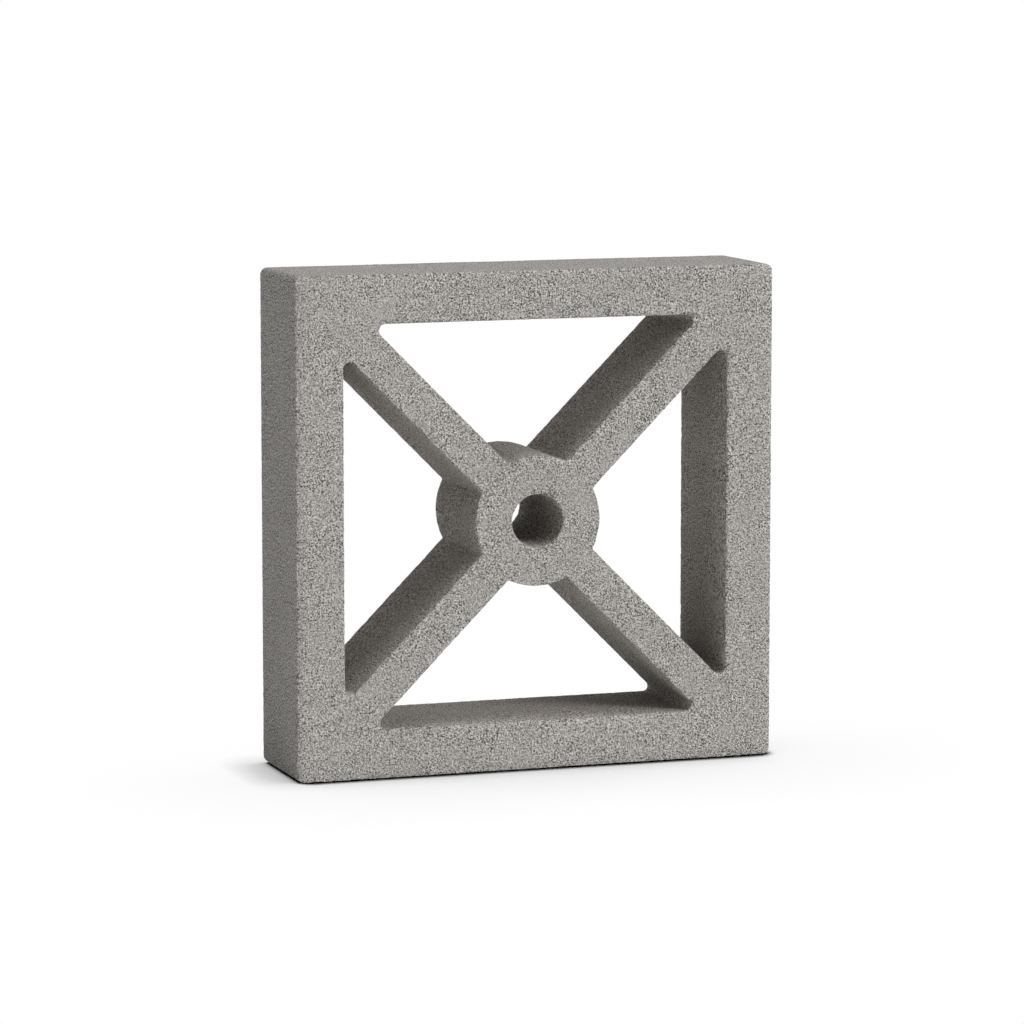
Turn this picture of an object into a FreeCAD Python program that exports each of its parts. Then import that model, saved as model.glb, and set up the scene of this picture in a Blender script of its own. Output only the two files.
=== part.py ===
"""Decorative screen block, cast in concrete as one piece: a frame, diagonal webs and a pierced round hub.

Millimetres. The block stands upright as it is laid in a wall: +Z is up, X runs along the face, and the
show face looks towards -Y. The origin is the middle of the underside.
"""
import FreeCAD
import Part

import math
import os

from FreeCAD import Vector

# Overall size
FACE_WIDTH = 400.0
FACE_HEIGHT = 400.0
DEPTH = 100.0

# Concrete between the openings, measured on the show face, where the openings are widest
FRAME_BAR = 39.5
WEB_THICKNESS = 31.4
HUB_DIAMETER = 105.0
BORE_DIAMETER = 42.4

# Taper that lets the mould's cores draw out towards the show face: what each wall gains by the back
WALL_DRAFT = 1.0
BORE_DRAFT = 3.0

# Rounding
BLOCK_CORNER_RADIUS = 6.0
FACE_ARRIS_RADIUS = 1.5
OPENING_ARRIS_RADIUS = 0.8
SHARP_CORNER_RADIUS = 4.0  # where a web meets the frame, at the narrow back end of an opening
HUB_CORNER_RADIUS = 1.5  # where a web meets the hub, at the narrow back end of an opening

NODE = "screen_block"
ACROSS = Vector(1, 0, 0)
DEEP = Vector(0, 1, 0)
UP = Vector(0, 0, 1)
FRONT_Y = -DEPTH / 2
BACK_Y = DEPTH / 2
CENTRE_Z = FACE_HEIGHT / 2
CORE_OVERRUN = FACE_ARRIS_RADIUS  # the cores pass both faces by this much, so that they cut clean through
FLAT_TOLERANCE = 1e-6
CUBIC_MM_PER_LITRE = 1e6


def unit(vector):
    """The same direction with length one."""
    return Vector(vector) / vector.Length


def left_of(direction):
    """The direction a quarter turn anticlockwise from this one, seen on the show face."""
    return Vector(-direction.z, 0, direction.x)


def line(start, end):
    return Part.LineSegment(start, end).toShape()


def short_arc(centre, start, end):
    """The arc of under half a turn about the centre, from start to end."""
    radius = (start - centre).Length
    middle = centre + unit((start - centre) + (end - centre)) * radius
    return Part.Arc(start, middle, end).toShape()


def taper_at(y, draft):
    """How far a wall with this draft has moved into its opening at depth y."""
    return draft * (y - FRONT_Y) / DEPTH


def opening_outline(first_corner, second_corner, outward, half_size, y):
    """The closed outline of one opening at depth y, between the webs that run to two corners of the block.

    The opening is bounded by the frame bar on the outward side, by a web on either hand and by the hub.
    Every wall moves in by the same taper, so each rounded corner keeps its centre and loses that much
    radius.
    """
    taper = taper_at(y, WALL_DRAFT)
    plane = Vector(0, y, CENTRE_Z)
    half_web = WEB_THICKNESS / 2 + taper
    hub_radius = HUB_DIAMETER / 2 + taper
    frame_edge = half_size - FRAME_BAR - taper
    sharp_radius = SHARP_CORNER_RADIUS + WALL_DRAFT - taper
    hub_corner_radius = HUB_CORNER_RADIUS + WALL_DRAFT - taper

    def web_points(along, inward):
        """Where the rounded corners beside the web along this diagonal touch frame, web and hub."""
        sharp_off = half_web + sharp_radius
        sharp_reach = (frame_edge - sharp_radius - outward.dot(inward) * sharp_off) / outward.dot(along)
        sharp_centre = inward * sharp_off + along * sharp_reach
        hub_off = half_web + hub_corner_radius
        hub_reach = math.sqrt((hub_radius + hub_corner_radius) ** 2 - hub_off**2)
        hub_centre = inward * hub_off + along * hub_reach
        return {
            "sharp_centre": plane + sharp_centre,
            "on_frame": plane + sharp_centre + outward * sharp_radius,
            "on_web_out": plane + sharp_centre - inward * sharp_radius,
            "hub_centre": plane + hub_centre,
            "on_web_in": plane + hub_centre - inward * hub_corner_radius,
            "on_hub": plane + unit(hub_centre) * hub_radius,
        }

    first_along = unit(first_corner)
    second_along = unit(second_corner)
    first = web_points(first_along, left_of(first_along))
    second = web_points(second_along, left_of(second_along) * -1)
    edges = [
        line(first["on_frame"], second["on_frame"]),
        short_arc(second["sharp_centre"], second["on_frame"], second["on_web_out"]),
        line(second["on_web_out"], second["on_web_in"]),
        short_arc(second["hub_centre"], second["on_web_in"], second["on_hub"]),
        short_arc(plane, second["on_hub"], first["on_hub"]),
        short_arc(first["hub_centre"], first["on_hub"], first["on_web_in"]),
        line(first["on_web_in"], first["on_web_out"]),
        short_arc(first["sharp_centre"], first["on_web_out"], first["on_frame"]),
    ]
    return Part.Wire(edges)


def opening_cores():
    """The four tapered cores that leave the openings above, left of, below and right of the hub."""
    half_width = FACE_WIDTH / 2
    half_height = FACE_HEIGHT / 2
    quarters = ((1, 1), (-1, 1), (-1, -1), (1, -1))
    corners = [Vector(across * half_width, 0, up * half_height) for across, up in quarters]
    sides = [(UP, half_height), (ACROSS * -1, half_width), (UP * -1, half_height), (ACROSS, half_width)]
    cores = []
    for index, (outward, half_size) in enumerate(sides):
        first_corner = corners[index]
        second_corner = corners[(index + 1) % len(corners)]
        ends = [
            opening_outline(first_corner, second_corner, outward, half_size, y)
            for y in (FRONT_Y - CORE_OVERRUN, BACK_Y + CORE_OVERRUN)
        ]
        cores.append(Part.makeLoft(ends, True, True))
    return cores


def bore_core():
    """The tapered round core that pierces the hub."""
    start_y = FRONT_Y - CORE_OVERRUN
    end_y = BACK_Y + CORE_OVERRUN
    start_radius, end_radius = (BORE_DIAMETER / 2 - taper_at(y, BORE_DRAFT) for y in (start_y, end_y))
    return Part.makeCone(start_radius, end_radius, end_y - start_y, Vector(0, start_y, CENTRE_Z), DEEP)


def plain_block():
    """The solid block before it is pierced, with its four edges from front to back rounded."""
    block = Part.makeBox(FACE_WIDTH, DEPTH, FACE_HEIGHT, Vector(-FACE_WIDTH / 2, FRONT_Y, 0))
    deep_edges = [edge for edge in block.Edges if edge.BoundBox.YLength > DEPTH / 2]
    return block.makeFillet(BLOCK_CORNER_RADIUS, deep_edges)


def face_at(solid, y):
    """The flat show face or back face of the block, the largest face in that plane."""
    boxes = [(face, face.BoundBox) for face in solid.Faces]
    flat = [face for face, box in boxes if abs(box.YMin - y) + abs(box.YMax - y) < FLAT_TOLERANCE]
    return max(flat, key=lambda face: face.Area)


def rounded_arrises(solid):
    """Rounds the edges of the show face and of the back: the block's rim, then the rims of its openings."""
    for y in (FRONT_Y, BACK_Y):
        solid = solid.makeFillet(FACE_ARRIS_RADIUS, face_at(solid, y).OuterWire.Edges)
        face = face_at(solid, y)
        inner_wires = [wire for wire in face.Wires if not wire.isSame(face.OuterWire)]
        inner_edges = [edge for wire in inner_wires for edge in wire.Edges]
        solid = solid.makeFillet(OPENING_ARRIS_RADIUS, inner_edges)
    return solid


def screen_block():
    """The whole block as one solid."""
    pierced = plain_block().cut(opening_cores() + [bore_core()])
    return rounded_arrises(pierced).Solids[0]


def main():
    block = screen_block()
    box = block.optimalBoundingBox()
    litres = block.Volume / CUBIC_MM_PER_LITRE
    size = " x ".join(f"{length:.2f}" for length in (box.XLength, box.YLength, box.ZLength))
    print(f"{NODE}: valid {block.isValid()}, faces {len(block.Faces)}, volume {litres:.3f} litres")
    print(f"size {size} mm, underside at z {box.ZMin:.3f}")
    os.makedirs("parts", exist_ok=True)
    block.exportStep(f"parts/{NODE}.step")


main()
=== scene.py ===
# %% [markdown]
# # A pierced concrete screen block
# The object is a single casting of grey concrete: a square frame, webs along its diagonals, a round hub
# where they meet and a bore through the hub. Masons lay such blocks in courses to build a wall that lets
# light and air through. This file dresses the plain solid with the surface that a dry, sandy mix has.

import math

import bmesh
import bpy
import numpy as np
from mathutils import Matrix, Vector


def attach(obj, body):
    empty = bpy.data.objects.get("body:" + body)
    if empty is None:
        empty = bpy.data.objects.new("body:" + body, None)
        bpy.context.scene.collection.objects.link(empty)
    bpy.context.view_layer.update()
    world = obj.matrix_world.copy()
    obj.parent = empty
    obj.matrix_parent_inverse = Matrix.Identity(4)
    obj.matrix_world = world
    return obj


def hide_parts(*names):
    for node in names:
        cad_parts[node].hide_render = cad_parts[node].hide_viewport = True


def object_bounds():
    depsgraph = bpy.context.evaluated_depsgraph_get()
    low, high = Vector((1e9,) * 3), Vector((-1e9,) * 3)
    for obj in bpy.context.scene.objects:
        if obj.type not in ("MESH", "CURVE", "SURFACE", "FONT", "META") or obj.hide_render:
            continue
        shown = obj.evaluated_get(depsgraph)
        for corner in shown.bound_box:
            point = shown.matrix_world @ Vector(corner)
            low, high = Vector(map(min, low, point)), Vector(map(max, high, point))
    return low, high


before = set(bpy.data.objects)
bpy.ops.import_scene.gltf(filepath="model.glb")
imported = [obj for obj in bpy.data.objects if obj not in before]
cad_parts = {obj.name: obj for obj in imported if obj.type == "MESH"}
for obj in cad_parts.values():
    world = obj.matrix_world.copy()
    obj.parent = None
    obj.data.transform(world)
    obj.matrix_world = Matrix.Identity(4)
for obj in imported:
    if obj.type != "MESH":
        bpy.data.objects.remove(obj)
cad_low, cad_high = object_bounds()
print("solid block measures", [round(high - low, 4) for low, high in zip(cad_low, cad_high)], "m")

# %% [markdown]
# ## The sizes of the casting
# The outer size is read from the solid. The rest are the sizes that the solid was drawn with: the concrete
# left between the openings on the show face, how much the openings narrow towards the back so that the
# mould could be drawn, and the rounding of each kind of edge.

# %% Sizes in metres
MM = 1000  # millimetres in a metre, for what is printed
FACE = cad_high.x - cad_low.x
DEPTH = cad_high.y - cad_low.y
HALF = FACE / 2
CENTRE_Z = (cad_low.z + cad_high.z) / 2
FRAME_BAR = 0.0395
HALF_WEB = 0.0157
HUB_RADIUS = 0.0525
BORE_RADIUS = 0.0212
WALL_DRAFT = 0.001
BORE_DRAFT = 0.003
BLOCK_CORNER = 0.006
FACE_ARRIS = 0.0015
OPENING_ARRIS = 0.0008
SHARP_CORNER = 0.005
HUB_CORNER = 0.0025
RING_RADIUS = (BORE_RADIUS + HUB_RADIUS) / 2
print("face", round(FACE, 3), "m, depth", round(DEPTH, 3), "m, webs", 2 * HALF_WEB, "m thick")

# %% [markdown]
# ## Outlines as paths
# Every edge of the block is either straight or part of a circle. A path is a list of such runs, each with
# the way its wall faces. Walking along the joined runs at an even pace, and a little slower round corners,
# gives the points that a profile will be carried along. Blender's curves could do this too, but plain
# arrays keep the same number of points on every outline, so that neighbours meet point by point.

# %% Runs and bends
BEND_POINTS = 65


def straight(start, end, facing):
    """The two ends of a straight run, each with the direction its wall faces."""
    return np.array([start, end], float), np.array([facing, facing], float)


def bend(centre, radius, first, last, side):
    """An arc: the centre plus the radius times (cos, sin) of each angle from first to last, in degrees.

    The wall faces away from the centre where side is 1 and towards it where side is -1.
    """
    angle = np.radians(np.linspace(first, last, BEND_POINTS))
    ray = np.stack([np.cos(angle), np.sin(angle)], axis=1)
    return np.asarray(centre) + radius * ray, side * ray


print("a full bend round the bore spans", np.ptp(bend((0, 0), BORE_RADIUS, 0, 360, -1)[0], axis=0), "m")

# %% Walking along runs
CORNER_PACE = 0.0022


def walk(runs, count):
    """Joins the runs and places count + 1 points along them.

    The points are spaced evenly by length plus a share of the turning, so corners get more of them.
    """
    points = np.concatenate([run[0] for run in runs])
    facing = np.concatenate([run[1] for run in runs])
    length = np.linalg.norm(np.diff(points, axis=0), axis=1)
    turning = np.linalg.norm(np.diff(facing, axis=0), axis=1)
    travel = np.concatenate([[0.0], np.cumsum(length + CORNER_PACE * turning)])
    stops = np.linspace(0.0, travel[-1], count + 1)
    placed = np.stack([np.interp(stops, travel, points[:, axis]) for axis in (0, 1)], axis=1)
    turned = np.stack([np.interp(stops, travel, facing[:, axis]) for axis in (0, 1)], axis=1)
    return placed, turned / np.linalg.norm(turned, axis=1, keepdims=True)


def join(*parts):
    """Chains walked parts end to end, without repeating the point where two parts meet."""
    points = np.concatenate([part[0][:-1] for part in parts[:-1]] + [parts[-1][0]])
    facing = np.concatenate([part[1][:-1] for part in parts[:-1]] + [parts[-1][1]])
    return points, facing


print("corners slow the walk as if each radian of turning were", MM * CORNER_PACE, "mm long")

# %% [markdown]
# ## One opening stands for four
# The block is the same on both sides of its middle and looks the same after a quarter turn. So half of the
# upper opening is drawn, its mirror image closes the loop, and three quarter turns give the other openings.
# Each rim point also gets a partner on the middle line of the concrete round the opening, or on the outer
# edge: the flat faces will be spun between the two.

# %% Mirror images and quarter turns
def mirrored(half):
    """A closed loop from half of it: the half, then its mirror image across the middle walked back."""
    flip = np.array([-1.0, 1.0])
    return tuple(np.concatenate([side, side[-2:0:-1] * flip]) for side in half)


def four_turns(loop):
    """The loop, and the same loop turned by one, two and three quarter turns."""
    angle = np.radians([0.0, 90.0, 180.0, 270.0])
    turn = np.stack([np.cos(angle), -np.sin(angle), np.sin(angle), np.cos(angle)], axis=1).reshape(4, 2, 2)
    return tuple(np.einsum("tij,pj->tpi", turn, side) for side in loop)


print("a point on top turns to", four_turns((np.array([[0.0, 1.0]]),))[0].round(3).reshape(4, 2).tolist())

# %% The rims of the openings
ALONG_FRAME, ALONG_WEB, ALONG_HUB = 120, 130, 22
SLANT = np.array([1.0, 1.0]) / math.sqrt(2)
ACROSS_WEB = np.array([-1.0, 1.0]) / math.sqrt(2)
frame_edge = HALF - FRAME_BAR
corner_z = frame_edge - SHARP_CORNER
sharp_centre = np.array([corner_z - math.sqrt(2) * (HALF_WEB + SHARP_CORNER), corner_z])
hub_reach = math.sqrt((HUB_RADIUS + HUB_CORNER) ** 2 - (HALF_WEB + HUB_CORNER) ** 2)
hub_corner = ACROSS_WEB * (HALF_WEB + HUB_CORNER) + SLANT * hub_reach
hub_turn = math.degrees(math.atan2(hub_corner[1], hub_corner[0]))
half_sharp = (90.0 - 45.0) / 2
half_hub = (315.0 + 180.0 + hub_turn) / 2
web_start = sharp_centre - ACROSS_WEB * SHARP_CORNER
web_end = hub_corner - ACROSS_WEB * HUB_CORNER

rim_half = join(
    walk([straight((0, frame_edge), (sharp_centre[0], frame_edge), (0, -1)),
          bend(sharp_centre, SHARP_CORNER, 90, half_sharp, -1)], ALONG_FRAME),
    walk([bend(sharp_centre, SHARP_CORNER, half_sharp, -45, -1),
          straight(web_start, web_end, ACROSS_WEB),
          bend(hub_corner, HUB_CORNER, 315, half_hub, -1)], ALONG_WEB),
    walk([bend(hub_corner, HUB_CORNER, half_hub, 180 + hub_turn, -1),
          bend((0, 0), HUB_RADIUS, hub_turn, 90, 1)], ALONG_HUB),
)
rim, rim_facing = four_turns(mirrored(rim_half))
spacing = np.linalg.norm(np.diff(rim[0], axis=0), axis=1).mean()
print("each opening's rim has", rim.shape[1], "points, about", round(MM * spacing, 2), "mm apart")

# %% Their partners in the middle of the concrete
edge = HALF - FACE_ARRIS
corner = HALF - BLOCK_CORNER
outer_half = walk([straight((0, edge), (corner, edge), (0, 1)),
                   bend((corner, corner), BLOCK_CORNER - FACE_ARRIS, 90, 45, 1)], ALONG_FRAME)
middle_half = join(
    outer_half,
    walk([straight(outer_half[0][-1], SLANT * RING_RADIUS, ACROSS_WEB)], ALONG_WEB),
    walk([bend((0, 0), RING_RADIUS, 45, 90, 1)], ALONG_HUB),
)
middle, _ = four_turns(mirrored(middle_half))
print("the flat faces are up to", round(MM * np.linalg.norm(rim - middle, axis=-1).max(), 1), "mm wide")

# %% [markdown]
# ## A profile carried along each path
# Seen in section, the surface starts in the middle of a bar on the show face, runs to the rim, turns over
# the rounded arris, goes down the wall, turns over the back arris and ends in the middle of the bar on the
# back. Carrying that one profile round an opening, round the bore and round the outside gives strips that
# meet in the middle of the concrete, so together they close the block. Rows are crowded near the arrises,
# because that is where the eye reads the raggedness of a sandy edge.

# %% The rows of the profile
FACE_SHARES = np.array([1.0, 0.8, 0.6, 0.42, 0.27, 0.15, 0.06])
BORE_SHARES = np.array([1.0, 0.66, 0.34, 0.12])
NO_SHARES = np.zeros(0)
OPENING_ARRIS_STEPS, FACE_ARRIS_STEPS = 4, 5
WALL_STEPS = np.array([0.001, 0.0025, 0.005, 0.024])
RAG_IN_MIDDLE, RAG_AT_RIM = 0.3, 0.8
RAG_DOWN_WALL = [0.6, 0.25]
SAND_DOWN_WALL = [0.3, 0.1]


def profile(arris, shares, arris_steps):
    """Half of the section, from the middle of a bar to halfway down the wall, as columns of numbers.

    share is how much of a point comes from the middle line, inset is how far it lies behind the wall's
    plane, below is its distance from the face, and face_out and wall_out are the parts of its direction
    out of face and wall. The arris is a quarter circle: inset = -arris (1 - sin t) and
    below = arris (1 - cos t). rag and sand say how ragged and how sandy each row is.
    """
    turn = np.linspace(0.0, math.pi / 2, arris_steps + 1)
    wall = np.append(arris + WALL_STEPS, DEPTH / 2)
    flat, round_, deep = len(shares), len(turn), len(wall)
    face_rag = np.linspace(RAG_IN_MIDDLE, RAG_AT_RIM, flat)
    first_rag = [RAG_AT_RIM if flat else RAG_IN_MIDDLE]
    smooth = np.zeros(deep - len(RAG_DOWN_WALL))
    return {
        "share": np.concatenate([shares, np.zeros(round_ + deep)]),
        "inset": np.concatenate([np.full(flat, -arris), -arris * (1 - np.sin(turn)), np.zeros(deep)]),
        "below": np.concatenate([np.zeros(flat), arris * (1 - np.cos(turn)), wall]),
        "face_out": np.concatenate([np.ones(flat), np.cos(turn), np.zeros(deep)]),
        "wall_out": np.concatenate([np.zeros(flat), np.sin(turn), np.ones(deep)]),
        "rag": np.concatenate([face_rag, first_rag, np.ones(round_ - 1), RAG_DOWN_WALL, smooth]),
        "sand": np.concatenate([np.ones(flat), (np.cos(turn) + 1) / 2, SAND_DOWN_WALL, smooth]),
    }


opening_rows = len(profile(OPENING_ARRIS, FACE_SHARES, OPENING_ARRIS_STEPS)["share"])
print("an opening's half profile has", opening_rows, "rows")

# %% Carry the profile along a path
def carry(path, facing, centre_line, arris, draft, shares, arris_steps):
    """Carries the profile along a closed path; gives its points and what the relief needs to know at each.

    A point is share * middle + (1 - share) * (path + facing * (inset + draft so far)), at its own depth.
    The back half of the section is the front half in reverse. The slant points out of the arris halfway
    between face and wall, and under is how far a point lies below the sharp edge that face and wall would
    make, along that slant.
    """
    half = profile(arris, shares, arris_steps)
    rows = {name: np.concatenate([column, column[-2::-1]]) for name, column in half.items()}
    behind = np.arange(len(rows["below"])) >= len(half["below"])
    y = np.where(behind, DEPTH / 2 - rows["below"], rows["below"] - DEPTH / 2)
    taper = draft * (y / DEPTH + 0.5)
    share = rows["share"][:, None]
    moved = path[:, None] + facing[:, None] * (rows["inset"] + taper)[:, None]
    flat = share * centre_line[:, None] + (1 - share) * moved
    points = np.stack([flat[..., 0], np.broadcast_to(y, flat.shape[:2]), flat[..., 1] + CENTRE_Z], axis=-1)
    wall_way = np.stack([facing[:, 0], np.zeros(len(facing)), facing[:, 1]], axis=-1)[:, None]
    face_way = np.where(behind, 1.0, -1.0)[:, None] * np.array([0.0, 1.0, 0.0])
    behind_wall = np.sum((path[:, None] - flat) * facing[:, None], axis=-1) + taper
    return {
        "points": points,
        "out": wall_way * rows["wall_out"][:, None] + face_way * rows["face_out"][:, None],
        "slant": (wall_way + face_way) / math.sqrt(2),
        "under": (behind_wall + rows["below"]) / math.sqrt(2),
        "rag": np.broadcast_to(rows["rag"], flat.shape[:2]),
        "sand": np.broadcast_to(rows["sand"], flat.shape[:2]),
    }


openings = [
    carry(*loop, OPENING_ARRIS, WALL_DRAFT, FACE_SHARES, OPENING_ARRIS_STEPS)
    for loop in zip(rim, rim_facing, middle)
]
print(len(openings), "openings of", openings[0]["rag"].shape, "points")

# %% The bore and the outside
CLOCKWISE = [0, 3, 2, 1]  # the turned sides in the order that the outline meets them
NO_DRAFT = 0.0
angle = np.linspace(0.0, 2 * math.pi, 2 * len(rim) * ALONG_HUB, endpoint=False)
ray = np.stack([np.cos(angle), np.sin(angle)], axis=1)
bore = carry(ray * BORE_RADIUS, -ray, ray * RING_RADIUS,
             OPENING_ARRIS, BORE_DRAFT, BORE_SHARES, OPENING_ARRIS_STEPS)
outer_arc = tuple(column[:0:-1] * [-1, 1] for column in outer_half)
side = tuple(np.concatenate([left, right[:-1]]) for left, right in zip(outer_arc, outer_half))
outer, outer_facing = (turns[CLOCKWISE].reshape(-1, 2) for turns in four_turns(side))
outside = carry(outer + outer_facing * FACE_ARRIS, outer_facing, outer,
                FACE_ARRIS, NO_DRAFT, NO_SHARES, FACE_ARRIS_STEPS)
print("bore of", bore["rag"].shape, "points and outside of", outside["rag"].shape, "points")

# %% [markdown]
# ## Grain that is really there
# The mix is sand and cement rammed damp into a mould, so its arrises are never crisp: grains fall out along
# them, small chips come off, and the faces are slightly uneven. That relief is put into the mesh itself. A
# lattice of random numbers, blended smoothly between its points, gives a value to every place in space, so
# strips that share an edge move together. Everything moves inwards only, which keeps the casting inside its
# mould.

# %% Random values as a function of place
AXIS_HASHES = np.array([73856093, 19349663, 83492791])
SEED_HASH = 668265263
SCRAMBLES = ((15, 2246822519), (13, 3266489917))
LOW_32_BITS, LOW_16_BITS, BITS_DROPPED = 0xFFFFFFFF, 0xFFFF, 8


def lattice_noise(points, cell, seed):
    """A smooth random value from 0 to 1.

    Each corner of a lattice of cells has a hashed number, and a point blends the eight round it.
    """
    scaled = points / cell
    base = np.floor(scaled).astype(np.int64)
    part = scaled - base
    part = part * part * (3 - 2 * part)
    total = np.zeros(points.shape[:-1])
    for step in np.ndindex(2, 2, 2):
        hashed = (base + np.array(step)) * AXIS_HASHES
        mixed = np.bitwise_xor.reduce(hashed, axis=-1) ^ (seed * SEED_HASH)
        for shift, factor in SCRAMBLES:
            mixed = ((mixed ^ (mixed >> shift)) * factor) & LOW_32_BITS
        share = np.prod(np.where(np.array(step), part, 1 - part), axis=-1)
        total += share * ((mixed >> BITS_DROPPED) & LOW_16_BITS) / LOW_16_BITS
    return total


GRAIN_CELL, GRAIN_DEPTH, GRAIN_SEED = 0.0024, 0.0004, 1
print("grain noise averages", round(lattice_noise(bore["points"], GRAIN_CELL, GRAIN_SEED).mean(), 3))

# %% Wear the surface inwards
LUMP_CELL, LUMP_DEPTH, LUMP_SEED = 0.0055, 0.00015, 2
WAVE_CELL, WAVE_DEPTH, WAVE_SEED = 0.045, 0.0002, 3
CHIP_CELL, CHIP_DEPTH, CHIP_SEED = 0.0042, 0.00105, 4
LUMPS_EVERYWHERE = 0.2
CHIP_GAIN, CHIP_START = 2.0, 0.7


def weathered(strip):
    """Moves each point inwards by the sum of grain, lumps and broad waves, and chips the arrises.

    A chip cuts the edge off along a slanting plane: a point closer to the sharp edge than the chip is deep
    goes in to that depth.
    """
    points, rag = strip["points"], strip["rag"]
    grain = lattice_noise(points, GRAIN_CELL, GRAIN_SEED) * GRAIN_DEPTH * rag
    lumps = lattice_noise(points, LUMP_CELL, LUMP_SEED) * LUMP_DEPTH * np.minimum(1, rag + LUMPS_EVERYWHERE)
    waves = lattice_noise(points, WAVE_CELL, WAVE_SEED) * WAVE_DEPTH
    chips = lattice_noise(points, CHIP_CELL, CHIP_SEED) * CHIP_GAIN - CHIP_START
    chips = np.maximum(np.clip(chips, 0, 1) * CHIP_DEPTH - strip["under"], 0)
    return points - strip["out"] * (grain + lumps + waves)[..., None] - strip["slant"] * chips[..., None]


deepest = np.linalg.norm(weathered(outside) - outside["points"], axis=-1).max()
print("the outside is worn by", round(MM * deepest, 2), "mm at most")

# %% [markdown]
# ## One closed mesh
# The strips go to Blender as whole arrays. Points that lie on the same spot are then merged, which sews the
# strips together along the middle lines that they share. In a closed mesh every edge has two faces, so
# counting the edges that don't tells at once whether a seam was missed. Each point also carries two numbers
# for the material: sand is 1 on the faces and 0 on the walls, and the other is 1 on the walls of the
# openings and the bore, where the colour is painted a shade warmer and lighter, a stand-in for light bounced
# between them.

# %% Gather the strips
def strip_faces(around, rows, outward):
    """Quads of a strip that closes on itself: each cell joins four neighbours, turned to face outward."""
    u, v = np.meshgrid(np.arange(around), np.arange(rows - 1), indexing="ij")
    ahead = (u + 1) % around
    cells = [u * rows + v, ahead * rows + v, ahead * rows + v + 1, u * rows + v + 1]
    return np.stack(cells if outward else cells[::-1], axis=-1).reshape(-1, 4)


# The last number of each strip is how much painted bounce warmth its walls get: the openings and the bore
# are painted warmer and lighter, standing in for light bounced between their walls.
strips = [(opening, False, 1.0) for opening in openings] + [(bore, True, 1.0), (outside, True, 0.0)]
vertices, faces, sand, bounce_warmth = [], [], [], []
count = 0
for strip, outward, bounce_warmth_share in strips:
    around, rows = strip["rag"].shape
    vertices.append(weathered(strip).reshape(-1, 3))
    faces.append(strip_faces(around, rows, outward) + count)
    sand.append(strip["sand"].reshape(-1))
    bounce_warmth.append(bounce_warmth_share * (1 - sand[-1]))
    count += around * rows
vertices, faces, sand, bounce_warmth = (np.concatenate(part) for part in (vertices, faces, sand, bounce_warmth))
print(len(strips), "strips hold", len(vertices), "points and", len(faces), "quads")

# %% Fill the mesh
mesh = bpy.data.meshes.new("cast_block")
mesh.vertices.add(len(vertices))
mesh.vertices.foreach_set("co", vertices.astype(np.float32).ravel())
mesh.loops.add(faces.size)
mesh.loops.foreach_set("vertex_index", faces.astype(np.int32).ravel())
mesh.polygons.add(len(faces))
mesh.polygons.foreach_set("loop_start", np.arange(0, faces.size, faces.shape[1], dtype=np.int32))
mesh.polygons.foreach_set("use_smooth", np.ones(len(faces), dtype=bool))
for name, values in (("sand", sand), ("bounce_warmth", bounce_warmth)):
    mesh.attributes.new(name, "FLOAT", "POINT").data.foreach_set("value", values.astype(np.float32))
mesh.update(calc_edges=True)
print("mesh before sewing:", len(mesh.vertices), "points,", len(mesh.edges), "edges")

# %% Sew the strips and put the block in its place
SEAM = 1e-5
LITRES_PER_CUBIC_METRE = 1000
sewn = bmesh.new()
sewn.from_mesh(mesh)
bmesh.ops.remove_doubles(sewn, verts=sewn.verts, dist=SEAM)
litres = sewn.calc_volume(signed=True) * LITRES_PER_CUBIC_METRE
sewn.to_mesh(mesh)
sewn.free()
edge_of_loop = np.empty(len(mesh.loops), dtype=np.int32)
mesh.loops.foreach_get("edge_index", edge_of_loop)
open_edges = np.count_nonzero(np.bincount(edge_of_loop, minlength=len(mesh.edges)) != 2)

block = bpy.data.objects.new("cast_block", mesh)
bpy.context.scene.collection.objects.link(block)
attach(block, "root")
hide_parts("screen_block")
print("cast_block:", len(mesh.vertices), "points,", 2 * len(mesh.polygons), "triangles,",
      open_edges, "open edges,", round(litres, 3), "litres")

# %% [markdown]
# ## Sand for the shader
# Close up, the surface is a crowd of sand grains a millimetre or two across, each with its own grey, with
# gaps and small pits between them. A picture of concrete could be wrapped round the block, but it would
# stretch and repeat. Cell noise instead gives every grain its own place, dome and tone anywhere in space.
# The same group is used three times: for the coarse sand, for the fines between and, thinned out, for the
# pits where a grain has dropped out.

# %% A group for one size of sand
def add_node(tree, kind, **values):
    """Adds a node and sets its own settings, or its inputs by name with a space for each underscore."""
    node = tree.nodes.new(kind)
    for name, value in values.items():
        if hasattr(node, name):
            setattr(node, name, value)
        else:
            node.inputs[name.replace("_", " ")].default_value = value
    return node


DOME_TOP, DOME_FOOT = 0.1, 0.8
sand_layer = bpy.data.node_groups.new("sand_layer", "ShaderNodeTree")
sand_layer.interface.new_socket("Place", in_out="INPUT", socket_type="NodeSocketVector")
sand_layer.interface.new_socket("Grains per metre", in_out="INPUT", socket_type="NodeSocketFloat")
sand_layer.interface.new_socket("Dome", in_out="OUTPUT", socket_type="NodeSocketFloat")
sand_layer.interface.new_socket("Tone", in_out="OUTPUT", socket_type="NodeSocketFloat")
entry = sand_layer.nodes.new("NodeGroupInput")
result = sand_layer.nodes.new("NodeGroupOutput")
cells = add_node(sand_layer, "ShaderNodeTexVoronoi", feature="F1", Randomness=1.0)
dome = add_node(sand_layer, "ShaderNodeMapRange", interpolation_type="SMOOTHSTEP",
                From_Min=DOME_TOP, From_Max=DOME_FOOT, To_Min=1.0, To_Max=0.0)
split = add_node(sand_layer, "ShaderNodeSeparateColor")
links = sand_layer.links
links.new(entry.outputs["Place"], cells.inputs["Vector"])
links.new(entry.outputs["Grains per metre"], cells.inputs["Scale"])
links.new(cells.outputs["Distance"], dome.inputs["Value"])
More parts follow.
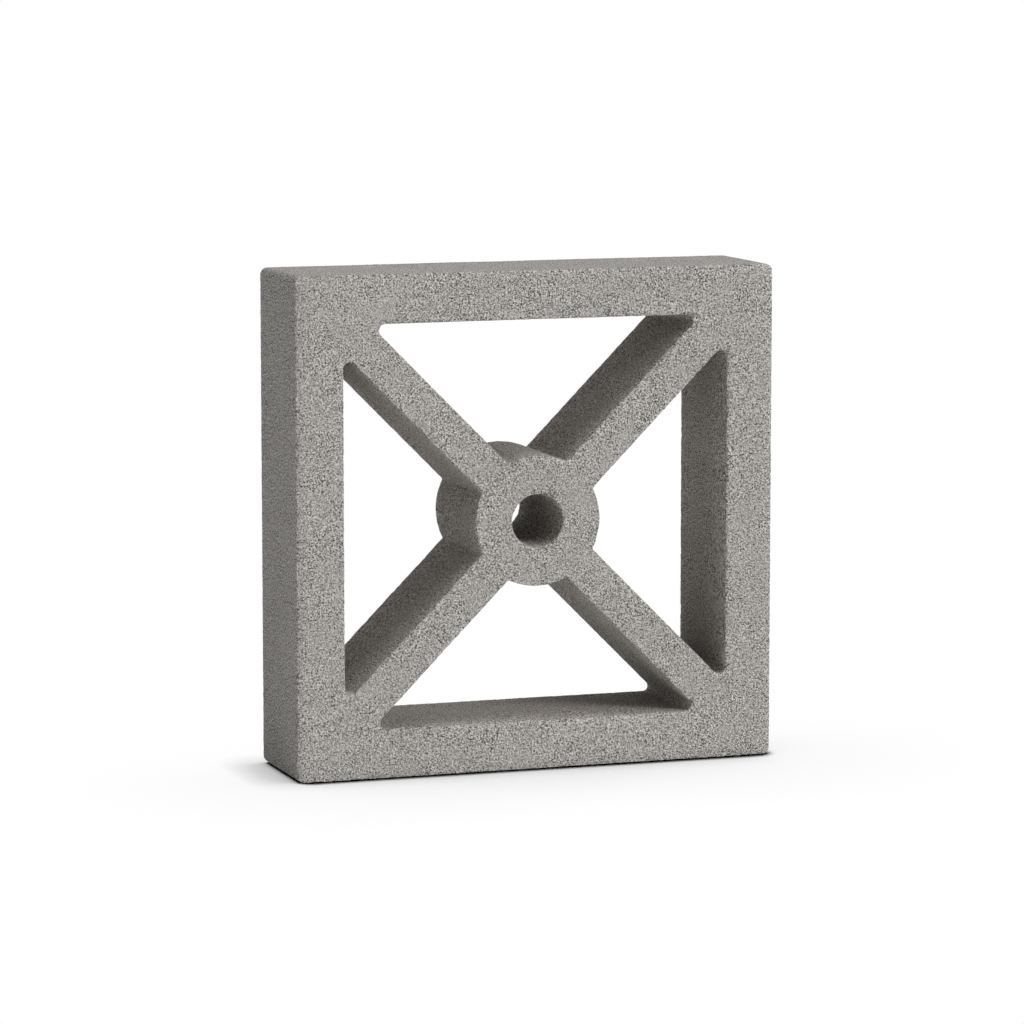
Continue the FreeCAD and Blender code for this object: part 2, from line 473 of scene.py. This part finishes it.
links.new(cells.outputs["Color"], split.inputs["Color"])
links.new(dome.outputs["Result"], result.inputs["Dome"])
links.new(split.outputs["Red"], result.inputs["Tone"])
print("group sand_layer has", len(sand_layer.nodes), "nodes")

# %% [markdown]
# ## The concrete
# From a few paces the eye sees neither the sand nor the pits one by one, but a fine wormy grain, which is
# the cement paste between them: a single band of noise gives it. Broader noise lets patches be lighter,
# darker and rougher. The mould was drawn along the outer sides and the walls of the openings, which drags
# the sand, so their grain is stronger than on the faces. The walls of the openings and the bore are painted
# a shade warmer and lighter, a stand-in for the warm light that bounces between them. The same noises drive
# colour and relief, so that what looks like a gap between grains is also a dip, and the colour is painted
# darker in those dips and in the pits: painted shade on top of the shade that the relief itself gets.

# %% Tools for the material
concrete = bpy.data.materials.new("sandy_concrete")
concrete.use_nodes = True
tree = concrete.node_tree
tree.nodes.clear()
links = tree.links


def math_node(operation, *values):
    """The result of a Math node whose inputs are sockets or plain numbers."""
    node = add_node(tree, "ShaderNodeMath", operation=operation)
    for socket, value in zip(node.inputs, values):
        if isinstance(value, bpy.types.NodeSocket):
            links.new(value, socket)
        else:
            socket.default_value = value
    return node.outputs[0]


def weighted(*terms):
    """The sum of weight * (value - middle) over terms of (value, middle, weight)."""
    total = None
    for value, middle, weight in terms:
        term = math_node("MULTIPLY_ADD", value, weight, -middle * weight)
        total = term if total is None else math_node("ADD", total, term)
    return total


print("material", concrete.name, "starts with", len(tree.nodes), "nodes")

# %% Its noises
COARSE_PER_METRE, FINE_PER_METRE, PITS_PER_METRE = 1000.0, 1900.0, 420.0
PASTE_PER_METRE, MOTTLE_PER_METRE, CLOUD_PER_METRE = 800.0, 45.0, 11.0
PIT_SHARE, PIT_WIDTH = 0.2, 0.14
place = tree.nodes.new("ShaderNodeTexCoord").outputs["Object"]


def sand_node(per_metre):
    """The dome and tone of the sand group, set to one size of grain."""
    node = tree.nodes.new("ShaderNodeGroup")
    node.node_tree = sand_layer
    node.inputs["Grains per metre"].default_value = per_metre
    links.new(place, node.inputs["Place"])
    return node.outputs["Dome"], node.outputs["Tone"]


def noise(per_metre, detail, roughness):
    """A value that wanders about a half, in bands from per_metre upwards."""
    node = add_node(tree, "ShaderNodeTexNoise", Scale=per_metre, Detail=detail, Roughness=roughness)
    links.new(place, node.inputs["Vector"])
    return node.outputs["Fac"]


coarse_dome, coarse_tone = sand_node(COARSE_PER_METRE)
fine_dome, fine_tone = sand_node(FINE_PER_METRE)
pit_dome, pit_tone = sand_node(PITS_PER_METRE)
pit = math_node("MULTIPLY", math_node("GREATER_THAN", pit_tone, 1 - PIT_SHARE),
                math_node("GREATER_THAN", pit_dome, 1 - PIT_WIDTH))
paste = noise(PASTE_PER_METRE, detail=0.0, roughness=0.5)
mottle = noise(MOTTLE_PER_METRE, detail=3.0, roughness=0.6)
cloud = noise(CLOUD_PER_METRE, detail=2.0, roughness=0.5)
print("noises use", len(tree.nodes), "nodes")

# %% Its colour
GREY = (0.345, 0.331, 0.314, 1.0)
# Painted bounce light: the walls of the openings and the bore get this warmer, lighter grey in place of the
# warm light that bounces between them.
BOUNCE_WARMED_GREY = (0.364, 0.340, 0.315, 1.0)
FACE_GRIP, WALL_GRIP = 1.0, 1.25
DARKEST = 0.12
MIX_A, MIX_B, MIX_RESULT = 6, 7, 2  # the colour sockets of a Mix node, by number
sandy = add_node(tree, "ShaderNodeAttribute", attribute_name="sand").outputs["Fac"]
# The share of that painted bounce-warmed grey at each point.
bounce_warmth_share = add_node(tree, "ShaderNodeAttribute", attribute_name="bounce_warmth").outputs["Fac"]
grip = math_node("MULTIPLY_ADD", sandy, FACE_GRIP - WALL_GRIP, WALL_GRIP)
grip = math_node("MULTIPLY", grip, math_node("MULTIPLY", mottle, 2.0))
# Painted shade: besides each grain's random tone, the colour is darker where the relief is low, in the dips
# of the paste, the gaps between coarse grains and the pits.
tone_and_dip_shade = weighted((paste, 0.5, 2.4), (coarse_tone, 0.5, 0.4), (fine_tone, 0.5, 0.45),
                   (coarse_dome, 0.4, 0.2), (pit, 0.0, -0.8))
drift = weighted((mottle, 0.5, 0.2), (cloud, 0.5, 0.16))
tone = math_node("ADD", math_node("MULTIPLY_ADD", tone_and_dip_shade, grip, drift), 1.0)
tone = math_node("MAXIMUM", tone, DARKEST)
base = add_node(tree, "ShaderNodeMix", data_type="RGBA")
base.inputs[MIX_A].default_value = GREY
base.inputs[MIX_B].default_value = BOUNCE_WARMED_GREY
links.new(bounce_warmth_share, base.inputs["Factor"])
colour = add_node(tree, "ShaderNodeMix", data_type="RGBA", blend_type="MULTIPLY", Factor=1.0)
links.new(base.outputs[MIX_RESULT], colour.inputs[MIX_A])
links.new(tone, colour.inputs[MIX_B])
print("colour is", GREY[:3], "times a tone no darker than", DARKEST)

# %% Its relief and its surface
GRAIN_HEIGHT = 0.0005
height = weighted((paste, 0.0, 2.0), (coarse_dome, 0.0, 0.7), (fine_dome, 0.0, 0.3), (pit, 0.0, -1.0))
bump = add_node(tree, "ShaderNodeBump", Strength=1.0, Distance=GRAIN_HEIGHT)
links.new(math_node("MULTIPLY", height, grip), bump.inputs["Height"])
surface = add_node(tree, "ShaderNodeBsdfPrincipled", Roughness=0.95, Specular_IOR_Level=0.2)
links.new(colour.outputs[MIX_RESULT], surface.inputs["Base Color"])
links.new(bump.outputs["Normal"], surface.inputs["Normal"])
output = tree.nodes.new("ShaderNodeOutputMaterial")
links.new(surface.outputs["BSDF"], output.inputs["Surface"])
mesh.materials.append(concrete)
print("sandy_concrete has", len(tree.nodes), "nodes")

# %% [markdown]
# ## The floor
# The block stands on a seamless white sweep. A floor lit until it is white would need so much light that
# the block itself would bleach. Instead the floor is white of its own to the camera, and is dimmed where the
# block hides the room from it. Ambient occlusion nodes measure that, each tilted towards the block: one
# with a long reach for the wide faint shade in front, one with a short reach for the deeper shade at the
# side away from the lamps, and one with a very short reach for the thin dark line along the foot. To the
# light that bounces off it on to the block, it is a plain pale floor.

# %% The sweep
FLOOR_REACH = 40.0
floor_corners = [(-FLOOR_REACH, -FLOOR_REACH, 0), (FLOOR_REACH, -FLOOR_REACH, 0),
                 (FLOOR_REACH, FLOOR_REACH, 0), (-FLOOR_REACH, FLOOR_REACH, 0)]
floor_mesh = bpy.data.meshes.new("floor")
floor_mesh.from_pydata(floor_corners, [], [(0, 1, 2, 3)])
floor = bpy.data.objects.new("floor", floor_mesh)
bpy.context.scene.collection.objects.link(floor)
print("floor", 2 * FLOOR_REACH, "m across")

# %% Its shade
FRONT_REACH, FRONT_CURVE, FRONT_TILT = 0.2, 0.17, (0.0, 0.51, 0.86)
SIDE_REACH, SIDE_CURVE, SIDE_TILT = 0.04, 0.5, (0.8, -0.1, 0.59)
SIDE_DARKEST = 0.17
CONTACT_REACH, CONTACT_TILT = 0.016, (-0.15, 0.62, 0.77)
CONTACT_DARK, CONTACT_CLEAR = 0.5, 0.7
SHADE_RAYS, CONTACT_RAYS = 4, 8
paper = bpy.data.materials.new("white_paper")
paper.use_nodes = True
tree = paper.node_tree
tree.nodes.clear()
links = tree.links


def open_sky(reach, direction, rays):
    """How much of the half-sphere round a direction is clear out to a reach, tried with so many rays."""
    slant = add_node(tree, "ShaderNodeCombineXYZ", X=direction[0], Y=direction[1], Z=direction[2])
    sky = add_node(tree, "ShaderNodeAmbientOcclusion", samples=rays, Distance=reach)
    links.new(slant.outputs[0], sky.inputs["Normal"])
    return sky.outputs["AO"]


front_shade = math_node("POWER", open_sky(FRONT_REACH, FRONT_TILT, SHADE_RAYS), FRONT_CURVE)
side_sky = math_node("MAXIMUM", open_sky(SIDE_REACH, SIDE_TILT, SHADE_RAYS), SIDE_DARKEST)
side_shade = math_node("POWER", side_sky, SIDE_CURVE)
contact = add_node(tree, "ShaderNodeMapRange", interpolation_type="SMOOTHSTEP",
                   From_Min=CONTACT_DARK, From_Max=CONTACT_CLEAR)
links.new(open_sky(CONTACT_REACH, CONTACT_TILT, CONTACT_RAYS), contact.inputs["Value"])
shade = math_node("MULTIPLY", math_node("MULTIPLY", front_shade, side_shade), contact.outputs["Result"])
print("shade reaches", FRONT_REACH, "m in front,", SIDE_REACH, "m at the side,",
      CONTACT_REACH, "m at the foot")

# %% Its paper
PALE = (0.9, 0.9, 0.9, 1.0)


def seen_directly():
    """One where a ray comes from the camera, straight or by way of gloss or glass, and zero elsewhere."""
    path = tree.nodes.new("ShaderNodeLightPath")
    seen = math_node("MAXIMUM", path.outputs["Is Camera Ray"], path.outputs["Is Glossy Ray"])
    return math_node("MAXIMUM", seen, path.outputs["Is Transmission Ray"])


def show_two(hidden, shown, output_kind):
    """Sends the first shader to the light that bounces about and the second to what the camera sees."""
    mix = tree.nodes.new("ShaderNodeMixShader")
    links.new(seen_directly(), mix.inputs[0])
    links.new(hidden.outputs[0], mix.inputs[1])
    links.new(shown.outputs[0], mix.inputs[2])
    links.new(mix.outputs[0], tree.nodes.new(output_kind).inputs["Surface"])


glow = add_node(tree, "ShaderNodeEmission", Strength=1.0)
links.new(shade, glow.inputs["Color"])
show_two(add_node(tree, "ShaderNodeBsdfDiffuse", Color=PALE), glow, "ShaderNodeOutputMaterial")
floor_mesh.materials.append(paper)
print("white_paper has", len(tree.nodes), "nodes")

# %% [markdown]
# ## The light
# A photographer would hang large soft boxes round the block in a white room. The room is a low even light
# from all round, which the camera sees as plain white. Three square lamps, far off and large, do the rest:
# the key from the front right models the show face and leaves the near side in shade, one overhead lights
# the top and the ledges of the openings, and a weak fill keeps the near side from going dark.

# %% The room
ROOM_STRENGTH = 0.25
WHITE = (1.0, 1.0, 1.0, 1.0)
world = bpy.data.worlds.new("white_room")
bpy.context.scene.world = world
world.use_nodes = True
tree = world.node_tree
tree.nodes.clear()
links = tree.links
room = add_node(tree, "ShaderNodeBackground", Color=WHITE, Strength=ROOM_STRENGTH)
white = add_node(tree, "ShaderNodeBackground", Color=WHITE, Strength=1.0)
show_two(room, white, "ShaderNodeOutputWorld")
print("room lights at", ROOM_STRENGTH)

# %% The lamps
LAMP_DISTANCE, LAMP_SIZE = 12.0, 4.8
LAMPS = {
    "key": ((0.50, -0.69, 0.52), 1020.0),
    "overhead": ((0.25, -0.10, 0.96), 720.0),
    "side_fill": ((-0.97, -0.05, 0.25), 118.0),
}
aim = Vector((0, 0, CENTRE_Z))
for name, (direction, watts) in LAMPS.items():
    lamp = bpy.data.lights.new(name, "AREA")
    lamp.shape, lamp.size, lamp.energy = "SQUARE", LAMP_SIZE, watts
    stand = bpy.data.objects.new(name, lamp)
    towards = Vector(direction).normalized()
    stand.location = aim + towards * LAMP_DISTANCE
    stand.rotation_mode = "QUATERNION"
    stand.rotation_quaternion = (-towards).to_track_quat("-Z", "Y")
    bpy.context.scene.collection.objects.link(stand)
print("lamps", list(LAMPS), "stand", LAMP_DISTANCE, "m away")

# %% [markdown]
# ## The camera
# A long lens a few paces away, left of the block's middle and a little above it. Its place was worked out
# from the directions of the block's straight edges in the picture.

# %% Camera
PICTURE_WIDTH = 1024
FOCAL_PIXELS = 4647.3
VIEW_AZIMUTH, VIEW_ELEVATION = math.radians(-19.03), math.radians(7.488)
VIEW_DISTANCE = 3.7396
VIEW_OFFSET = (-0.00438, 0.00102)
back = Vector((math.sin(VIEW_AZIMUTH) * math.cos(VIEW_ELEVATION),
               -math.cos(VIEW_AZIMUTH) * math.cos(VIEW_ELEVATION),
               math.sin(VIEW_ELEVATION)))
right = Vector((math.cos(VIEW_AZIMUTH), math.sin(VIEW_AZIMUTH), 0))
up = back.cross(right)
camera = bpy.data.cameras.new("camera")
camera.sensor_width = 36.0
camera.lens = camera.sensor_width * FOCAL_PIXELS / PICTURE_WIDTH
camera.clip_end = 200.0
camera_object = bpy.data.objects.new("camera", camera)
camera_object.location = aim + back * VIEW_DISTANCE + right * VIEW_OFFSET[0] + up * VIEW_OFFSET[1]
camera_object.rotation_mode = "QUATERNION"
camera_object.rotation_quaternion = (-back).to_track_quat("-Z", "Y")
bpy.context.scene.collection.objects.link(camera_object)
bpy.context.scene.camera = camera_object
bpy.context.scene.view_settings.view_transform = "Standard"
print("lens", round(camera.lens, 1), "mm")
